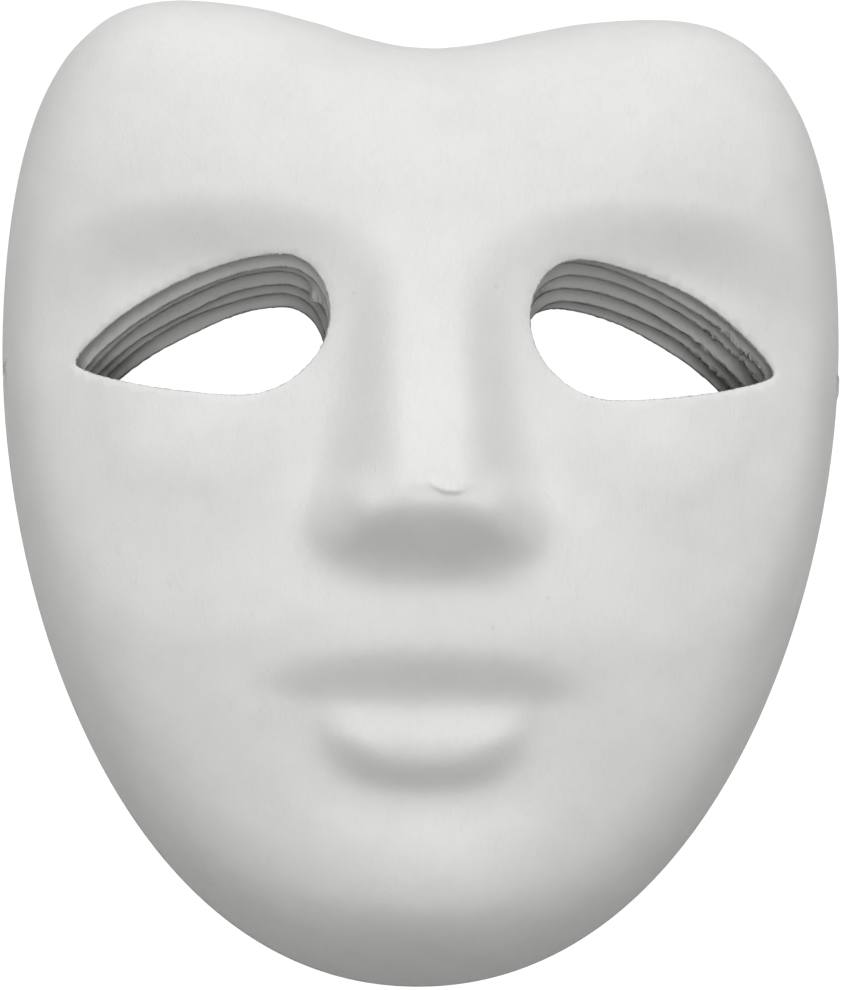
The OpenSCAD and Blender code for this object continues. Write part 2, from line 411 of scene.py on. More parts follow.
    def relief(self, x: Array, y: Array) -> Array:
        """Height of the features over the plain curve of the face."""
        ax = np.abs(x)
        brows = self.brow_h * mound(ax, y, self.brow_at, self.brow_size) - self.socket(x, y)
        cheeks = self.cheek_h * mound(ax, y, self.cheek_at, self.cheek_size)
        chin = self.chin_h * mound(x, y, (0.0, self.mouth_y - self.chin_drop), self.chin_size)
        return self.nose(x, y) + brows + cheeks + self.mouth(x, y) + chin

    def height(self, x: Array, y: Array) -> Array:
        """Height of the outer face over the rim's plane."""
        r = np.hypot(x, y)
        reach, support = self.rim_at(x, y)
        share = r / reach
        depth = (1 - share) * support
        way = np.where(r > TINY, y / np.maximum(r, TINY), 0.0)
        rounding = (
            self.side_round
            + (self.forehead_round - self.side_round) * np.clip(way, 0, None) ** 2
            + (self.chin_round - self.side_round) * np.clip(-way, 0, None) ** 2
        )
        side = np.where(
            depth < 0,
            self.side_h / rounding * depth,
            self.side_h * (1 - np.exp(-np.maximum(depth, 0) / rounding)),
        )
        relief = self.relief(x, y) * ease((1 - share) * self.rim_fade)
        return side + self.crown_h * (1 - share**2) + relief

    def slope(self, x: Array, y: Array) -> tuple[Array, Array]:
        """Rise of the outer face across and along the mask."""
        h = 0.05
        gx = (self.height(x + h, y) - self.height(x - h, y)) / (2 * h)
        gy = (self.height(x, y + h) - self.height(x, y - h)) / (2 * h)
        return gx, gy

    def drop(self, x: Array, y: Array) -> Array:
        """Height taken by the wall at each point."""
        gx, gy = self.slope(x, y)
        return np.minimum(self.pitch - self.gap, self.wall * np.sqrt(1 + gx**2 + gy**2))

    def unroll(self, points: Array) -> Array:
        """Points of the plan moved outwards, so that the steep side lies flat."""
        r = np.hypot(points[:, 0], points[:, 1])
        reach, _ = self.rim_at(points[:, 0], points[:, 1])
        shares = np.linspace(0.0, 1.0, len(self.flat_shares))
        flat = np.interp(r / reach, shares, self.flat_shares) * reach * self.stretch
        return points * (flat / np.maximum(r, TINY))[:, None]

    def roll_up(self, points: Array) -> Array:
        """Undoes unroll."""
        r = np.hypot(points[:, 0], points[:, 1])
        reach, _ = self.rim_at(points[:, 0], points[:, 1])
        shares = np.linspace(0.0, 1.0, len(self.flat_shares))
        share = np.interp(r / (reach * self.stretch), self.flat_shares, shares)
        return points * (share * reach / np.maximum(r, TINY))[:, None]

    def eye_curve(self, side: int) -> Array:
        """Dense outline of an eye opening, anticlockwise.

        Args:
            side: 1 for the wearer's left, -1 for the right.

        Returns:
            The outline's points.
        """
        o, t, i, b = self.eye_outer, self.eye_top, self.eye_inner, self.eye_bottom
        outer, top = self.eye_outer_pulls, self.eye_top_pulls
        inner, bottom = self.eye_inner_pulls, self.eye_bottom_pulls
        curves = [
            (o, (o[0], o[1] + outer[0]), (t[0] + top[0], t[1]), t),
            (t, (t[0] - top[1], t[1]), (i[0], i[1] + inner[0]), i),
            (i, (i[0], i[1] - inner[1]), (b[0] - bottom[0], b[1]), b),
            (b, (b[0] + bottom[1], b[1]), (o[0], o[1] - outer[1]), o),
        ]
        loop = np.vstack([bezier(c, np.linspace(0, 1, EYE_POINTS))[0][:-1] for c in curves])
        return loop if side > 0 else loop[::-1] * [-1.0, 1.0]

    def strap_curve(self, side: int) -> Array:
        """Dense outline of a strap hole in the plan, anticlockwise.

        Args:
            side: 1 for the wearer's left, -1 for the right.

        Returns:
            The outline's points.
        """
        turn = np.linspace(0, 2 * math.pi, STRAP_POINTS, endpoint=False)
        tilt = math.radians(self.strap_tilt)
        radius = self.strap_d / 2
        y = self.strap_y + radius * np.cos(turn)
        up = radius * np.sin(turn)
        low, high = (np.full_like(turn, end) for end in self.strap_between)
        for _ in range(HALVINGS):
            x = (low + high) / 2
            want = self.strap_z + up / math.cos(tilt) + (x - self.strap_x) * math.tan(tilt)
            above = self.height(x, y) > want
            low, high = np.where(above, x, low), np.where(above, high, x)
        loop = np.stack([(low + high) / 2, y], axis=1)
        if side < 0:
            loop = loop * [-1.0, 1.0]
        area = np.sum(loop[:, 0] * np.roll(loop[:, 1], -1) - loop[:, 1] * np.roll(loop[:, 0], -1))
        return loop if area > 0 else loop[::-1]


class Cut(Enum):
    """Kinds of edge where the pulp stops."""

    RIM = "rim"
    EYE = "eye"
    STRAP = "strap"


@dataclass
class Loop:
    """One closed edge of the blank.

    Args:
        cut: What kind of edge it is.
        ids: The blank's points along it, anticlockwise in the plan.
        centre: The middle of the opening, or of the mask.
    """

    cut: Cut
    ids: Array
    centre: Array


@dataclass
class Blank:
    """The mask's outer face, cut into triangles in the plan.

    Args:
        mould: The shape that it is cut for.
        step: Distance between its points, along the surface.
        rim_step: Distance between the points along the rim.
        eye_step: The same along the eye openings.
        strap_step: The same along the strap holes.
        eye_wear: How many times the eye openings' corners are worn round.
        half: Half the side of the field of points, before it is unrolled.
        tip_step: Distance between the points by the nose tip.
        tip_reach: How far these finer points go.
        tip_clear: How far the others keep away.
        edge_clear: How far all of them keep from the edges, as a share of the step.
    """

    mould: MaskMould
    step: float = 1.7
    rim_step: float = 1.6
    eye_step: float = 0.8
    strap_step: float = 0.7
    eye_wear: int = 3
    half: float = 130.0
    tip_step: float = 0.45
    tip_reach: float = 6.2
    tip_clear: float = 7.0
    edge_clear: float = 0.55
    plan: Array = field(init=False, repr=False)
    faces: Array = field(init=False, repr=False)
    loops: list[Loop] = field(init=False, repr=False)

    def __post_init__(self) -> None:
        """Lays out the points and triangulates between the edges."""
        mould = self.mould
        edges = [(Cut.RIM, mould.rim_curve()[0][:-1], self.rim_step)]
        for side in (1, -1):
            worn = blunt(mould.eye_curve(side), self.eye_step, self.eye_wear)
            edges.append((Cut.EYE, worn, self.eye_step))
        edges += [(Cut.STRAP, mould.strap_curve(side), self.strap_step) for side in (1, -1)]
        flat_loops = [resample(mould.unroll(curve), step) for _, curve, step in edges]
        inner = self.lattice(flat_loops)
        points = np.vstack(flat_loops + [inner])
        links, first = [], 0
        for loop in flat_loops:
            n = len(loop)
            links += [(first + k, first + (k + 1) % n) for k in range(n)]
            first += n
        verts, _, tris, origins, _, _ = delaunay_2d_cdt(
            [Vector(p) for p in points], links, [], 0, WELD
        )
        new_id = {old: new for new, olds in enumerate(origins) for old in olds}
        flat = np.array([tuple(v) for v in verts])
        tris = np.array(tris)
        centres = flat[tris].mean(axis=1)
        keep = inside_loop(centres, flat_loops[0])
        for loop in flat_loops[1:]:
            keep &= ~inside_loop(centres, loop)
        tris = tris[keep]
        used = np.unique(tris)
        place = np.full(len(flat), -1)
        place[used] = np.arange(len(used))
        self.faces = place[tris]
        self.plan = mould.roll_up(flat[used])
        self.loops, first = [], 0
        for (cut, _, _), loop in zip(edges, flat_loops):
            ids = place[[new_id[first + k] for k in range(len(loop))]]
            self.loops.append(Loop(cut, ids, self.plan[ids].mean(axis=0)))
            first += len(loop)

    def lattice(self, flat_loops: list[Array]) -> Array:
        """Points of a triangular lattice, clear of the edges, closer together by the nose tip.

        Args:
            flat_loops: The unrolled edges, with the rim first.

        Returns:
            The lattice's points, unrolled.
        """
        coarse = self.grid(self.step, self.mould.stretch * self.half, (0.0, 0.0))
        tip = np.array(FoldMark.place)
        flat_tip = self.mould.unroll(tip[None])[0]
        coarse = coarse[np.linalg.norm(coarse - flat_tip, axis=1) > self.tip_clear]
        fine = self.grid(self.tip_step, self.tip_clear, tuple(flat_tip))
        fine = fine[np.linalg.norm(fine - flat_tip, axis=1) < self.tip_reach]
        points = np.vstack([coarse, fine])
        points = points[inside_loop(points, flat_loops[0])]
        for loop in flat_loops[1:]:
            points = points[~inside_loop(points, loop)]
        for loop in flat_loops:
            near = np.full(len(points), np.inf)
            for p in loop:
                near = np.minimum(near, ((points - p) ** 2).sum(axis=1))
            points = points[near > (self.edge_clear * self.step) ** 2]
        return points

    @staticmethod
    def grid(step: float, half: float, centre: tuple[float, float]) -> Array:
        """A square field of a triangular lattice.

        Args:
            step: Distance between neighbours.
            half: Half the field's side.
            centre: Its middle.

        Returns:
            The points.
        """
        rows = int(half / (step * ROW_HEIGHT)) + 1
        cols = int(half / step) + 1
        j, i = np.mgrid[-rows : rows + 1, -cols : cols + 1].astype(float)
        x = centre[0] + step * (i + 0.5 * (j % 2))
        y = centre[1] + step * ROW_HEIGHT * j
        return np.stack([x.ravel(), y.ravel()], axis=1)


@dataclass(frozen=True)
class FoldMark:
    """A small blister with a sharp lower lip, left where the wet pulp folded."""

    place: tuple[float, float] = (3.4, -9.6)
    half_run: float = 3.1
    height: float = 0.62
    bow: float = 0.07
    slant: float = 0.14
    lip: float = 0.4
    tail: float = 1.1

    def lift(self, x: Array, y: Array) -> Array:
        """Height that the mark adds at each point."""
        dx = x - self.place[0]
        d = y - (self.place[1] + self.bow * dx**2 - self.slant * dx)
        across = np.exp(-((d / np.where(d < 0, self.lip, self.tail)) ** 2))
        return self.height * across * np.exp(-((np.abs(dx) / self.half_run) ** 4))


@dataclass(frozen=True)
class Tear:
    """A place along an eye opening where the pulp tore instead of being cut clean.

    Args:
        place: Its middle, in the plan.
        reach: About how far it runs along the edge.
        ragged: Unevenness of the torn fibres.
        flap: How far a loose flap stands into the opening, or a notch if below 0.
    """

    place: tuple[float, float]
    reach: float
    ragged: float
    flap: float = 0.0

    def weight(self, points: Array) -> Array:
        """Share of the tear at each point of an edge."""
        away = np.linalg.norm(points[:, :2] - np.array(self.place), axis=1)
        return np.exp(-((away / self.reach) ** 2))


# ==== Finishes ====


class Graph:
    """A node tree under construction."""

    def __init__(self, tree: bpy.types.NodeTree) -> None:
        """Takes the tree to build in and clears it."""
        self.tree = tree
        tree.nodes.clear()

    def add(self, kind: str, inputs: dict | None = None, **settings: object) -> bpy.types.Node:
        """Adds a node.

        Args:
            kind: The node's type name.
            inputs: Values or sockets for its inputs, by name or index.
            **settings: Its own properties.

        Returns:
            The node.
        """
        node = self.tree.nodes.new(kind)
        for name, value in settings.items():
            setattr(node, name, value)
        for name, value in (inputs or {}).items():
            socket = node.inputs[name]
            if isinstance(value, bpy.types.NodeSocket):
                self.tree.links.new(value, socket)
            else:
                socket.default_value = value
        return node

    def math(self, operation: str, *values: object) -> bpy.types.NodeSocket:
        """Adds a Math node and returns its output."""
        node = self.add("ShaderNodeMath", dict(enumerate(values)), operation=operation)
        return node.outputs[0]

    def ramp(self, value: object, low: float, high: float) -> bpy.types.NodeSocket:
        """Turns a value between two limits into one from 0 to 1, eased."""
        node = self.add(
            "ShaderNodeMapRange",
            {"Value": value, "From Min": low, "From Max": high},
            interpolation_type="SMOOTHSTEP",
        )
        return node.outputs["Result"]


def group_tree(
    name: str, inputs: dict[str, str], outputs: dict[str, str]
) -> tuple[Graph, dict, bpy.types.Node]:
    """Starts a shader node group.

    Args:
        name: The group's name.
        inputs: Socket types by input name.
        outputs: Socket types by output name.

    Returns:
        The graph, the group's inputs by name, and its output node.
    """
    tree = bpy.data.node_groups.new(name, "ShaderNodeTree")
    for label, kind in inputs.items():
        tree.interface.new_socket(label, in_out="INPUT", socket_type=kind)
    for label, kind in outputs.items():
        tree.interface.new_socket(label, in_out="OUTPUT", socket_type=kind)
    graph = Graph(tree)
    start = graph.add("NodeGroupInput")
    end = graph.add("NodeGroupOutput")
    return graph, {label: start.outputs[label] for label in inputs}, end


class PulpEffects:
    """The node groups that every pulp finish is made from."""

    HAIR_TURNS = (0.35, 1.4, 2.45)
    HAIR_EDGE = (0.60, 0.74)
    BROAD_SHARE = 0.8
    CLOUD_EDGE = (0.3, 0.7)
    FLECK_EDGE = (0.045, 0.02)
    FLECK_RARITY = 0.72
    ROUGH_SPREAD = 0.16
    ROUGH_LEAST = 0.78

    def __init__(self) -> None:
        """Builds the groups."""
        self.grain = self.build_grain()
        self.mottle = self.build_mottle()

    @staticmethod
    def build_grain() -> bpy.types.NodeTree:
        """Height of pressed fibres: a fine grain crossed by short hairs."""
        graph, given, end = group_tree(
            "pulp_grain",
            {"Place": "NodeSocketVector", "Grain": "NodeSocketFloat", "Hairs": "NodeSocketFloat"},
            {"Height": "NodeSocketFloat"},
        )
        fine = graph.add(
            "ShaderNodeTexNoise",
            {"Vector": given["Place"], "Scale": 1500.0, "Detail": 4.0, "Roughness": 0.62},
        )
        broad = graph.add(
            "ShaderNodeTexNoise",
            {"Vector": given["Place"], "Scale": 260.0, "Detail": 3.0, "Roughness": 0.5},
        )
        bend = graph.add(
            "ShaderNodeTexNoise",
            {"Vector": given["Place"], "Scale": 120.0, "Detail": 1.0},
        )
        drift = graph.add(
            "ShaderNodeVectorMath",
            {0: bend.outputs["Color"], "Scale": 0.006},
            operation="SCALE",
        )
        bent = graph.add(
            "ShaderNodeVectorMath",
            {0: given["Place"], 1: drift.outputs[0]},
            operation="ADD",
        )
        hairs: object = 0.0
        for turn in PulpEffects.HAIR_TURNS:
            laid = graph.add(
                "ShaderNodeMapping",
                {
                    "Vector": bent.outputs[0],
                    "Rotation": (0.4 * turn, 0.3, turn),
                    "Scale": (3200.0, 320.0, 900.0),
                },
            )
            streak = graph.add(
                "ShaderNodeTexNoise",
                {"Vector": laid.outputs[0], "Scale": 1.0, "Detail": 1.0},
            )
            line = graph.ramp(streak.outputs["Fac"], *PulpEffects.HAIR_EDGE)
            hairs = graph.math("MAXIMUM", hairs, line)
        share = PulpEffects.BROAD_SHARE
        grain = graph.math("MULTIPLY_ADD", broad.outputs["Fac"], share, fine.outputs["Fac"])
        grain = graph.math("MULTIPLY", grain, given["Grain"])
        height = graph.math("MULTIPLY_ADD", hairs, given["Hairs"], grain)
        graph.tree.links.new(height, end.inputs["Height"])
        return graph.tree

    @staticmethod
    def build_mottle() -> bpy.types.NodeTree:
        """Cloudy tone of the sheet, with a few darker flecks."""
        graph, given, end = group_tree(
            "pulp_mottle",
            {
                "Place": "NodeSocketVector",
                "Light": "NodeSocketColor",
                "Dark": "NodeSocketColor",
                "Fleck": "NodeSocketColor",
                "Flecks": "NodeSocketFloat",
            },
            {"Color": "NodeSocketColor", "Rough": "NodeSocketFloat"},
        )
        cloud = graph.add(
            "ShaderNodeTexNoise",
            {"Vector": given["Place"], "Scale": 38.0, "Detail": 5.0, "Roughness": 0.55},
        )
        cloudy = graph.ramp(cloud.outputs["Fac"], *PulpEffects.CLOUD_EDGE)
        mix = graph.add(
            "ShaderNodeMix",
            {"Factor": cloudy, 6: given["Light"], 7: given["Dark"]},
            data_type="RGBA",
        )
        cells = graph.add(
            "ShaderNodeTexVoronoi",
            {"Vector": given["Place"], "Scale": 70.0, "Randomness": 1.0},
        )
        dot = graph.ramp(cells.outputs["Distance"], *PulpEffects.FLECK_EDGE)
        chance = graph.add("ShaderNodeSeparateColor", {"Color": cells.outputs["Color"]})
        rare = graph.math("GREATER_THAN", chance.outputs[0], PulpEffects.FLECK_RARITY)
        fleck = graph.math("MULTIPLY", graph.math("MULTIPLY", dot, rare), given["Flecks"])
        spotted = graph.add(
            "ShaderNodeMix",
            {"Factor": fleck, 6: mix.outputs[2], 7: given["Fleck"]},
            data_type="RGBA",
        )
        graph.tree.links.new(spotted.outputs[2], end.inputs["Color"])
        spread, least = PulpEffects.ROUGH_SPREAD, PulpEffects.ROUGH_LEAST
        rough = graph.math("MULTIPLY_ADD", cloud.outputs["Fac"], spread, least)
        graph.tree.links.new(rough, end.inputs["Rough"])
        return graph.tree


@dataclass(frozen=True)
class PulpFinish:
    """One finish of bare pulp.

    Args:
        name: The material's name.
        light: The sheet's paler colour.
        dark: Its darker colour.
        grain: Depth of the grain, as a share of the bump.
        hairs: Depth of the hairs, as a share of the bump.
        depth: Height of the bump, in millimetres.
        flecks: Strength of the flecks.
        fleck: The flecks' colour.
    """

    name: str
    light: tuple[float, float, float]
    dark: tuple[float, float, float]
    grain: float
    hairs: float
    depth: float
    flecks: float
    fleck: tuple[float, float, float] = (0.42, 0.40, 0.35)

    def material(self, effects: PulpEffects) -> bpy.types.Material:
        """Builds the material.

        Args:
            effects: The shared node groups.

        Returns:
            The material.
        """
        made = bpy.data.materials.new(self.name)
        made.use_nodes = True
        graph = Graph(made.node_tree)
        place = graph.add("ShaderNodeTexCoord").outputs["Object"]
        mottle = graph.add("ShaderNodeGroup", node_tree=effects.mottle)
        grain = graph.add("ShaderNodeGroup", node_tree=effects.grain)
        for node in (mottle, grain):
            graph.tree.links.new(place, node.inputs["Place"])
        mottle.inputs["Light"].default_value = (*self.light, 1.0)
        mottle.inputs["Dark"].default_value = (*self.dark, 1.0)
        mottle.inputs["Fleck"].default_value = (*self.fleck, 1.0)
        mottle.inputs["Flecks"].default_value = self.flecks
        grain.inputs["Grain"].default_value = self.grain
        grain.inputs["Hairs"].default_value = self.hairs
        bump = graph.add(
            "ShaderNodeBump",
            {"Height": grain.outputs["Height"], "Strength": 1.0, "Distance": self.depth * MM},
        )
        shader = graph.add(
            "ShaderNodeBsdfPrincipled",
            {
                "Base Color": mottle.outputs["Color"],
                "Roughness": mottle.outputs["Rough"],
                "Normal": bump.outputs["Normal"],
                "Specular IOR Level": 0.25,
            },
        )
        graph.add("ShaderNodeOutputMaterial", {"Surface": shader.outputs[0]})
        return made


# ==== The masks ====


@dataclass
class PulpMask:
    """One mask of the pile.

    Args:
        node: The CAD node that it stands for, whose body has the same name.
        seed: Fixes its own unevenness and trimming.
        blank: The triangulated outer face.
        fold: A fold mark, on the mask that has one.
        nudges: How far its left and right openings were cut towards the forehead.
        tears: Where its openings are torn.
        trim: How unevenly its openings were cut.
        trim_reach: How far from an opening the trimming is felt.
        trim_spread: Chance difference in an opening's size and place.
        trim_wave: Chance waviness of its edge.
        trim_waves: How many waves are added up.
        edge_round: Rounding of the cut edges.
        edge_fray: Unevenness of every cut edge.
        skew: Rise of the left forehead lobe over the right one.
        skew_from: Where on the forehead it starts.
        skew_run: How far it takes to come in.
        burr: Lip pushed up around the strap holes.
        steep: Uprightness below which the wall is laid inwards, not down.
        steep_run: Change of uprightness over which this comes in.
        rim_calm: Height over the rim within which the sheet is smooth.
        sheet: Height and length of the broad waves that all masks share.
        sheet_fine: The same of their fine waves.
        sheet_own: The same of the mask's own waves.
        sheet_back: The same of the inner face's roughness.
    """

    node: str
    seed: int
    blank: Blank
    fold: FoldMark | None = None
    nudges: tuple[float, float] = (0.0, 0.0)
    tears: tuple[Tear, ...] = ()
    trim: float = 0.8
    trim_reach: float = 5.0
    trim_spread: float = 0.35
    trim_wave: float = 0.5
    trim_waves: int = 4
    edge_round: float = 0.3
    edge_fray: float = 0.05
    skew: float = 0.022
    skew_from: float = 45.0
    skew_run: float = 60.0
    burr: float = 0.5
    steep: float = 0.35
    steep_run: float = 0.3
    rim_calm: float = 6.0
    sheet: tuple[float, float] = (0.20, 46.0)
    sheet_fine: tuple[float, float] = (0.05, 9.0)
    sheet_own: tuple[float, float] = (0.10, 30.0)
    sheet_back: tuple[float, float] = (0.07, 4.5)

    def plan(self) -> Array:
        """The blank's plan, with this mask's own trimming of its openings."""
        plan = self.blank.plan.copy()
        draw = np.random.default_rng(self.seed)
        for loop in self.blank.loops:
            if loop.cut is not Cut.EYE:
                continue
            edge = self.blank.plan[loop.ids]
            near = np.full(len(plan), np.inf)
            for p in edge:
                near = np.minimum(near, ((self.blank.plan - p) ** 2).sum(axis=1))
            weight = np.exp(-near / self.trim_reach**2)
            away = self.blank.plan - loop.centre
            angle = np.arctan2(away[:, 1], away[:, 0])
            push = draw.normal(0, self.trim_spread) * np.ones(len(plan))
            for k in range(1, self.trim_waves + 1):
                size = draw.normal(0, self.trim_wave / k)
                push += size * np.cos(k * angle + draw.uniform(0, 2 * math.pi))
            away /= np.linalg.norm(away, axis=1)[:, None]
            shift = draw.normal(0, self.trim_spread, 2)
            shift[1] += self.nudges[0 if loop.centre[0] > 0 else 1] / self.trim
            plan += self.trim * weight[:, None] * (push[:, None] * away + shift)
        return plan

    def surfaces(self) -> tuple[Array, Array]:
        """The mask's outer and inner faces over the blank's points, with its rim at 0."""
        mould, plan = self.blank.mould, self.plan()
        x, y = plan[:, 0], plan[:, 1]
        gx, gy = mould.slope(x, y)
        normal = np.stack([-gx, -gy, np.ones_like(gx)], axis=1)
        normal /= np.linalg.norm(normal, axis=1)[:, None]
        outer = np.stack([x, y, mould.height(x, y)], axis=1)
        lean = 1 - ease((normal[:, 2] - self.steep) / self.steep_run)
        shift = -mould.wall * normal[:, :2] * lean[:, None]
        ix, iy = x + shift[:, 0], y + shift[:, 1]
        inner = np.stack([ix, iy, mould.height(ix, iy) - mould.drop(ix, iy)], axis=1)
        for loop in self.blank.loops:
            if loop.cut is Cut.STRAP:
                outer[loop.ids] += self.burr * normal[loop.ids]
        rim = ease(outer[:, 2] / self.rim_calm)
        broad = self.sheet[0] * Waves(SHEET_SEEDS[0], self.sheet[1]).at(outer)
        fine = self.sheet_fine[0] * Waves(SHEET_SEEDS[1], self.sheet_fine[1]).at(outer)
        own = self.sheet_own[0] * Waves(self.seed + OWN_SEED, self.sheet_own[1]).at(outer)
        back = self.sheet_back[0] * Waves(self.seed + BACK_SEED, self.sheet_back[1]).at(inner)
        skin = (broad + fine + own) * rim
        rough = skin + back * rim
        outer = outer + normal * skin[:, None]
        inner = inner + normal * rough[:, None]
        if self.fold:
            outer[:, 2] += self.fold.lift(x, y)
        for face in (outer, inner):
            share = ease((face[:, 1] - self.skew_from) / self.skew_run)
            face[:, 1] -= self.skew * face[:, 0] * share
            face[:, 2] = np.maximum(face[:, 2], 0.0)
        return outer, inner

    def edge_rows(self, outer: Array, inner: Array, loop: Loop, first: int) -> tuple[Array, Array]:
        """Rounded strip of pulp that closes one edge.

        Args:
            outer: The outer face's points.
            inner: The inner face's points.
            loop: The edge.
            first: Number of the strip's first new point.

        Returns:
            The strip's new points, and its faces as rows of four point numbers.
        """
        a, b = outer[loop.ids], inner[loop.ids]
        along = np.roll(a, -1, axis=0) - np.roll(a, 1, axis=0)
        out = np.cross(b - a, along)
        sign = 1.0 if loop.cut is Cut.RIM else -1.0
        out *= -sign / np.maximum(np.linalg.norm(out, axis=1), TINY)[:, None]
        want = (a[:, :2] - loop.centre) * sign
        if (out[:, :2] * want).sum() < 0:
            out = -out
        draw = np.random.default_rng(self.seed + len(loop.ids))
        depth = 0.0 if loop.cut is Cut.RIM else self.edge_round
        torn = self.tears if loop.cut is Cut.EYE else ()
        ragged = self.edge_fray + sum((t.ragged * t.weight(a) for t in torn), np.zeros(len(a)))
        flap = sum((t.flap * t.weight(a) for t in torn), np.zeros(len(a)))
        rows = []
        for share, bulge in EDGE_ROWS:
            fuzz = draw.normal(0, 1, len(a)) * ragged if depth else np.zeros(len(a))
            push = bulge * depth + fuzz + bulge * flap
            rows.append(a + (b - a) * share + out * push[:, None])
        n = len(loop.ids)
        outer_ids, inner_ids = loop.ids, loop.ids + len(outer)
        ids = [outer_ids] + [first + k * n + np.arange(n) for k in range(len(rows))] + [inner_ids]
        faces = []
        for top, low in zip(ids, ids[1:]):
            quad = (top, np.roll(top, -1), np.roll(low, -1), low)
            quad = (top, low, np.roll(low, -1), np.roll(top, -1)) if loop.cut is Cut.RIM else quad
            faces.append(np.stack(quad, axis=1))
        return np.vstack(rows), np.vstack(faces)

    def build(self, materials: list[bpy.types.Material]) -> bpy.types.Object:
        """Makes the mask's object.

        Args:
            materials: The finishes of the outer face, inner face and cut edges.

        Returns:
            The object, on its body.
        """
        outer, inner = self.surfaces()
        points = [outer, inner]
        tris = self.blank.faces
        quads = []
        first = 2 * len(outer)
        for loop in self.blank.loops:
            rows, faces = self.edge_rows(outer, inner, loop, first)
            points.append(rows)
            quads.append(faces)
            first += len(rows)
        quads = np.vstack(quads)
        level = float(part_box(self.node)[0][2]) / MM
        verts = (np.vstack(points) + [0.0, 0.0, level]) * MM
        inner_tris = tris[:, ::-1] + len(outer)
        faces = tris.tolist() + inner_tris.tolist() + quads.tolist()
        mesh = bpy.data.meshes.new("pulp_" + self.node)
        mesh.from_pydata(verts.tolist(), [], faces)
        index = np.concatenate(
            [np.zeros(len(tris), int), np.ones(len(tris), int), np.full(len(quads), 2)]
        )
        for made in materials:
            mesh.materials.append(made)
        mesh.polygons.foreach_set("material_index", index.astype(np.int32))
        mesh.polygons.foreach_set("use_smooth", np.ones(len(faces), bool))
        mesh.update()
        piece = bpy.data.objects.new("pulp_" + self.node, mesh)
        bpy.context.scene.collection.objects.link(piece)
        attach(piece, self.node)
        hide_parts(self.node)
        return piece


# ==== The studio ====


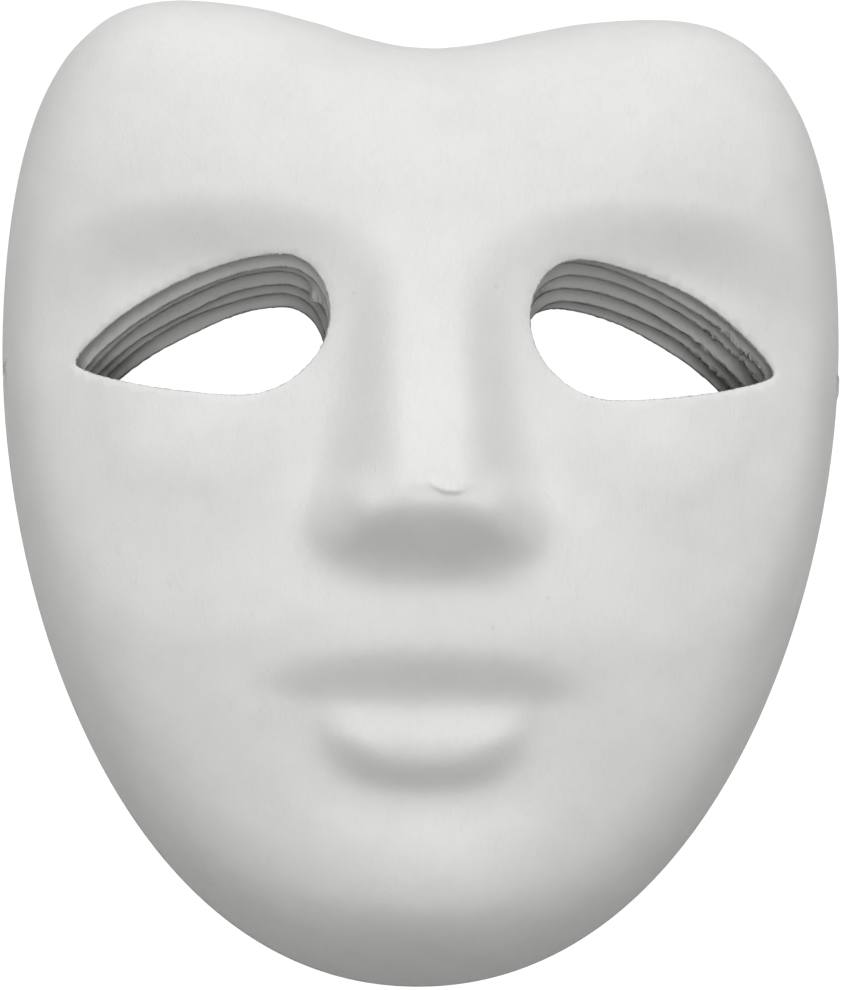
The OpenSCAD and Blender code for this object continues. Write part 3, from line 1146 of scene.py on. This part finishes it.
@dataclass
class Studio:
    """Floor, soft lights and camera around the pile.

    The lamp's sizes are in metres and watts, and all others in millimetres.
    """

    target: tuple[float, float, float] = (0.25, -1.2, 60.0)
    distance: float = 680.0
    tilt: float = 6.8
    yaw: float = -1.6
    roll: float = 0.68
    lens: float = 108.4
    sensor: float = 36.0
    floor_half: float = 3000.0
    floor_drop: float = 0.4
    floor_grey: float = 0.55
    floor_glow: float = 1.12
    glow_share: float = 0.93
    sky_level: float = 0.55
    sky_slant: float = 0.82
    sky_least: float = 0.04
    lamp_place: tuple[float, float, float] = (0.0, -0.22, 1.62)
    lamp_aim: tuple[float, float, float] = (0.0, 0.0, 0.09)
    lamp_side: float = 0.5
    lamp_power: float = 8.3

    def floor(self) -> None:
        """A plain white floor that stays bright to the camera."""
        s = self.floor_half * MM
        mesh = bpy.data.meshes.new("studio_floor")
        mesh.from_pydata([(-s, -s, 0), (s, -s, 0), (s, s, 0), (-s, s, 0)], [], [(0, 1, 2, 3)])
        made = bpy.data.materials.new("studio_floor")
        made.use_nodes = True
        graph = Graph(made.node_tree)
        grey = (self.floor_grey, self.floor_grey, self.floor_grey, 1.0)
        plain = graph.add("ShaderNodeBsdfDiffuse", {"Color": grey, "Roughness": 0.0})
        glow = graph.add(
            "ShaderNodeEmission", {"Color": (1.0, 1.0, 1.0, 1.0), "Strength": self.floor_glow}
        )
        path = graph.add("ShaderNodeLightPath")
        share = graph.math("MULTIPLY", path.outputs["Is Camera Ray"], self.glow_share)
        mix = graph.add("ShaderNodeMixShader", {0: share, 1: plain.outputs[0], 2: glow.outputs[0]})
        graph.add("ShaderNodeOutputMaterial", {"Surface": mix.outputs[0]})
        mesh.materials.append(made)
        floor = bpy.data.objects.new("studio_floor", mesh)
        bpy.context.scene.collection.objects.link(floor)
        floor.location = (0.0, 0.0, -self.floor_drop * MM)

    def lamp(self) -> None:
        """A weak soft square lamp over the face, aimed at the pile."""
        data = bpy.data.lights.new("lamp", "AREA")
        data.shape = "SQUARE"
        data.size = self.lamp_side
        data.energy = self.lamp_power
        lamp = bpy.data.objects.new("lamp", data)
        lamp.location = self.lamp_place
        way = Vector(self.lamp_aim) - Vector(self.lamp_place)
        lamp.rotation_euler = way.to_track_quat("-Z", "Y").to_euler()
        bpy.context.scene.collection.objects.link(lamp)

    def sky(self) -> None:
        """A soft sky that is brighter past the foreheads, and plain white to the camera."""
        world = bpy.data.worlds.new("studio")
        bpy.context.scene.world = world
        world.use_nodes = True
        graph = Graph(world.node_tree)
        way = graph.add("ShaderNodeTexCoord").outputs["Generated"]
        parts = graph.add("ShaderNodeSeparateXYZ", {"Vector": way})
        slant = graph.math("MULTIPLY_ADD", parts.outputs["Y"], self.sky_slant, self.sky_level)
        level = graph.math("MAXIMUM", slant, self.sky_least)
        white = (1.0, 1.0, 1.0, 1.0)
        soft = graph.add("ShaderNodeBackground", {"Color": white, "Strength": level})
        plain = graph.add("ShaderNodeBackground", {"Color": white, "Strength": 1.0})
        path = graph.add("ShaderNodeLightPath")
        mix = graph.add(
            "ShaderNodeMixShader",
            {0: path.outputs["Is Camera Ray"], 1: soft.outputs[0], 2: plain.outputs[0]},
        )
        graph.add("ShaderNodeOutputWorld", {"Surface": mix.outputs[0]})

    def camera(self) -> None:
        """The camera, above the face and a little below its middle."""
        tilt, yaw, roll = (math.radians(v) for v in (self.tilt, self.yaw, self.roll))
        back = Vector(
            (math.sin(yaw) * math.cos(tilt), -math.sin(tilt), math.cos(tilt) * math.cos(yaw))
        ).normalized()
        right = Vector((0.0, 1.0, 0.0)).cross(back).normalized()
        up = back.cross(right)
        turned = (
            right * math.cos(roll) + up * math.sin(roll),
            up * math.cos(roll) - right * math.sin(roll),
            back,
        )
        data = bpy.data.cameras.new("camera")
        data.sensor_width = self.sensor
        data.lens = self.lens
        camera = bpy.data.objects.new("camera", data)
        matrix = Matrix(turned).transposed().to_4x4()
        matrix.translation = (Vector(self.target) + back * self.distance) * MM
        camera.matrix_world = matrix
        bpy.context.scene.collection.objects.link(camera)
        bpy.context.scene.camera = camera

    def build(self) -> None:
        """Sets up the whole studio."""
        view = bpy.context.scene.view_settings
        view.view_transform = "Standard"
        view.look = "None"
        self.floor()
        self.sky()
        self.lamp()
        self.camera()


class Finish(Enum):
    """The pulp finishes, in the order of a mask's material slots."""

    FACE = PulpFinish(
        name="white_pulp_face",
        light=(0.80, 0.802, 0.785),
        dark=(0.765, 0.768, 0.75),
        grain=0.35,
        hairs=0.3,
        depth=0.10,
        flecks=0.18,
    )
    BACK = PulpFinish(
        name="white_pulp_back",
        light=(0.79, 0.795, 0.765),
        dark=(0.74, 0.745, 0.715),
        grain=1.0,
        hairs=1.0,
        depth=0.22,
        flecks=0.8,
    )
    CUT = PulpFinish(
        name="white_pulp_cut",
        light=(0.81, 0.81, 0.785),
        dark=(0.75, 0.75, 0.72),
        grain=1.0,
        hairs=1.3,
        depth=0.20,
        flecks=0.3,
    )


def pile(blank: Blank) -> list[PulpMask]:
    """The six masks from the top down, each with its own trimming and tears."""
    corner = (68.0, 28.5)
    return [
        PulpMask("top_mask", 1, blank, fold=FoldMark()),
        PulpMask(
            "second_mask",
            2,
            blank,
            nudges=(1.0, -0.6),
            tears=(Tear(corner, 9.0, 0.42, 0.5),),
        ),
        PulpMask(
            "third_mask",
            3,
            blank,
            nudges=(1.0, 0.3),
            tears=(Tear(corner, 8.0, 0.45, 0.3), Tear((-23.5, 40.0), 1.8, 0.25, 2.6)),
        ),
        PulpMask(
            "fourth_mask",
            4,
            blank,
            nudges=(0.5, -0.4),
            tears=(Tear((64.0, 31.0), 7.0, 0.35), Tear((26.0, 42.5), 1.5, 0.15, -1.6)),
        ),
        PulpMask("fifth_mask", 5, blank, nudges=(0.0, 0.6), tears=(Tear(corner, 7.0, 0.28, 0.3),)),
        PulpMask("bottom_mask", 6, blank),
    ]


def main() -> None:
    """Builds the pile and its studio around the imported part."""
    logging.basicConfig(level=logging.INFO, format="%(message)s")
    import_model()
    mould = MaskMould()
    blank = Blank(mould)
    effects = PulpEffects()
    materials = [finish.value.material(effects) for finish in Finish]
    for mask in pile(blank):
        piece = mask.build(materials)
        LOG.info("%s: %d faces", piece.name, len(piece.data.polygons))
    Studio().build()


if __name__ == "__main__":
    main()
